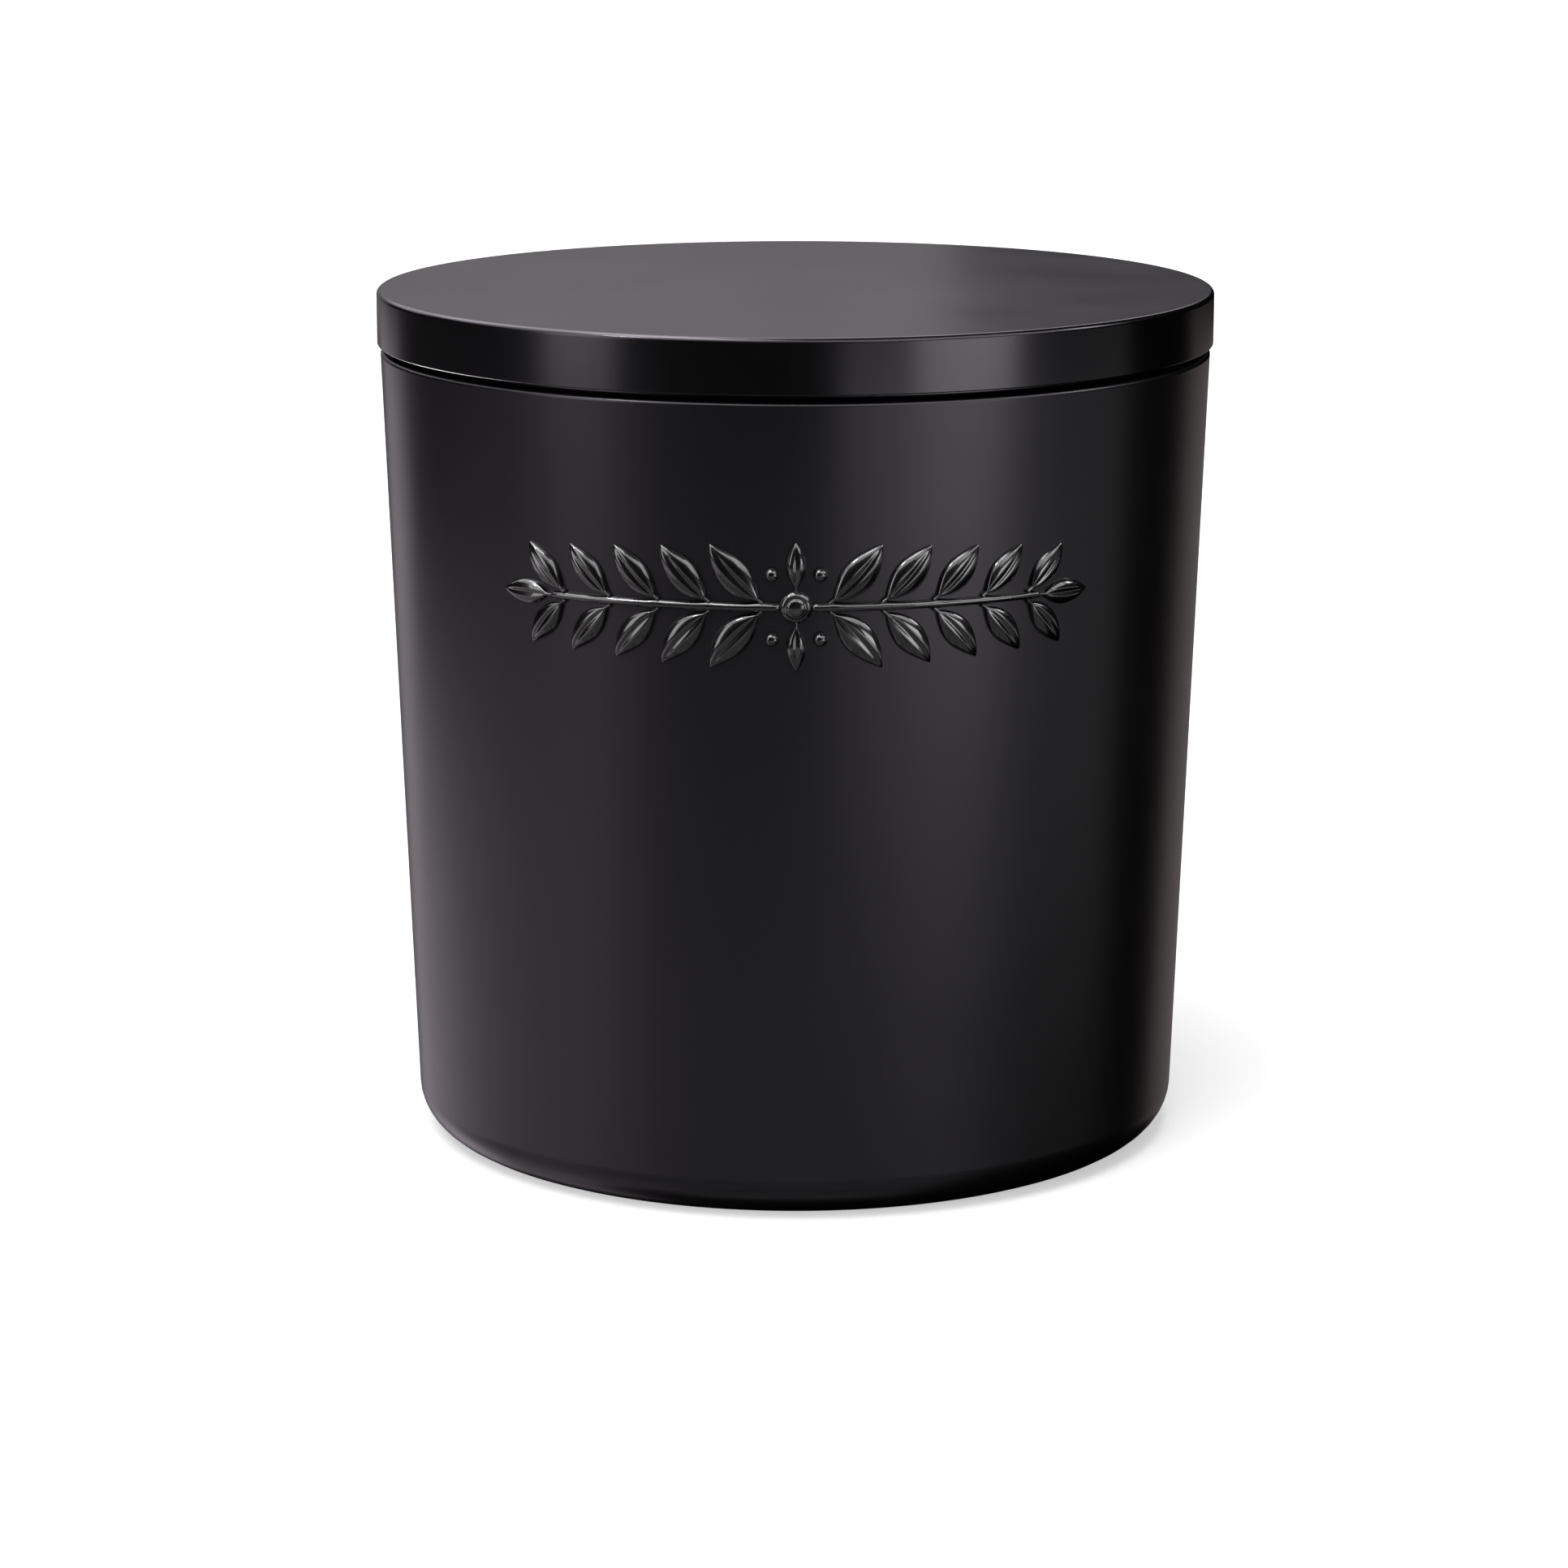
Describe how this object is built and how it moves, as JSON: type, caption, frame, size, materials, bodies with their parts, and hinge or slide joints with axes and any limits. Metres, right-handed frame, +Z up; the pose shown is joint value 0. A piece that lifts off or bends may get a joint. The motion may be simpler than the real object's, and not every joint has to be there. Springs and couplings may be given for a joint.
{
  "type": "candle tin with slip lid",
  "caption": "Round tapered candle tin in matt black with a flat slip lid, a raised gloss leaf sprig on the front, wax fill and cotton wicks.",
  "frame": {"origin": "centre of the ring that the tin stands on, on the surface it stands on", "axes": "+Z up along the tin's axis, through the lid; the raised sprig faces -Y; +X is to the right when looking at the sprig"},
  "size_m": [0.09, 0.09, 0.0922],
  "materials": {
    "matt_black_coat": "fine satin-matt black coating on drawn sheet metal",
    "gloss_black_enamel": "thick high-gloss black enamel",
    "candle_wax": "smooth creamy soy wax blend, slightly translucent",
    "wick_cotton": "braided cotton, wax coated",
    "clip_steel": "tinned steel",
    "pad_foam": "white adhesive foam",
    "liner_foam": "closed-cell polyethylene foam",
    "label_paper": "plain uncoated paper, blank"
  },
  "bodies": {
    "vessel": {"tin_shell": "matt_black_coat", "base_label": "label_paper", "wax_fill": "candle_wax", "wick_left": "wick_cotton", "wick_right": "wick_cotton", "wick_clip_left": "clip_steel", "wick_clip_right": "clip_steel", "wick_pad_left": "pad_foam", "wick_pad_right": "pad_foam", "relief_leaves": "gloss_black_enamel", "relief_stems": "gloss_black_enamel", "relief_berries": "gloss_black_enamel"},
    "lid": {"lid_shell": "matt_black_coat", "lid_liner": "liner_foam"}
  },
  "joints": [
    {"name": "lid_lift", "type": "slide", "parent": "vessel", "child": "lid", "axis": [0, 0, 1], "range_m": [0, 0.04]}
  ]
}
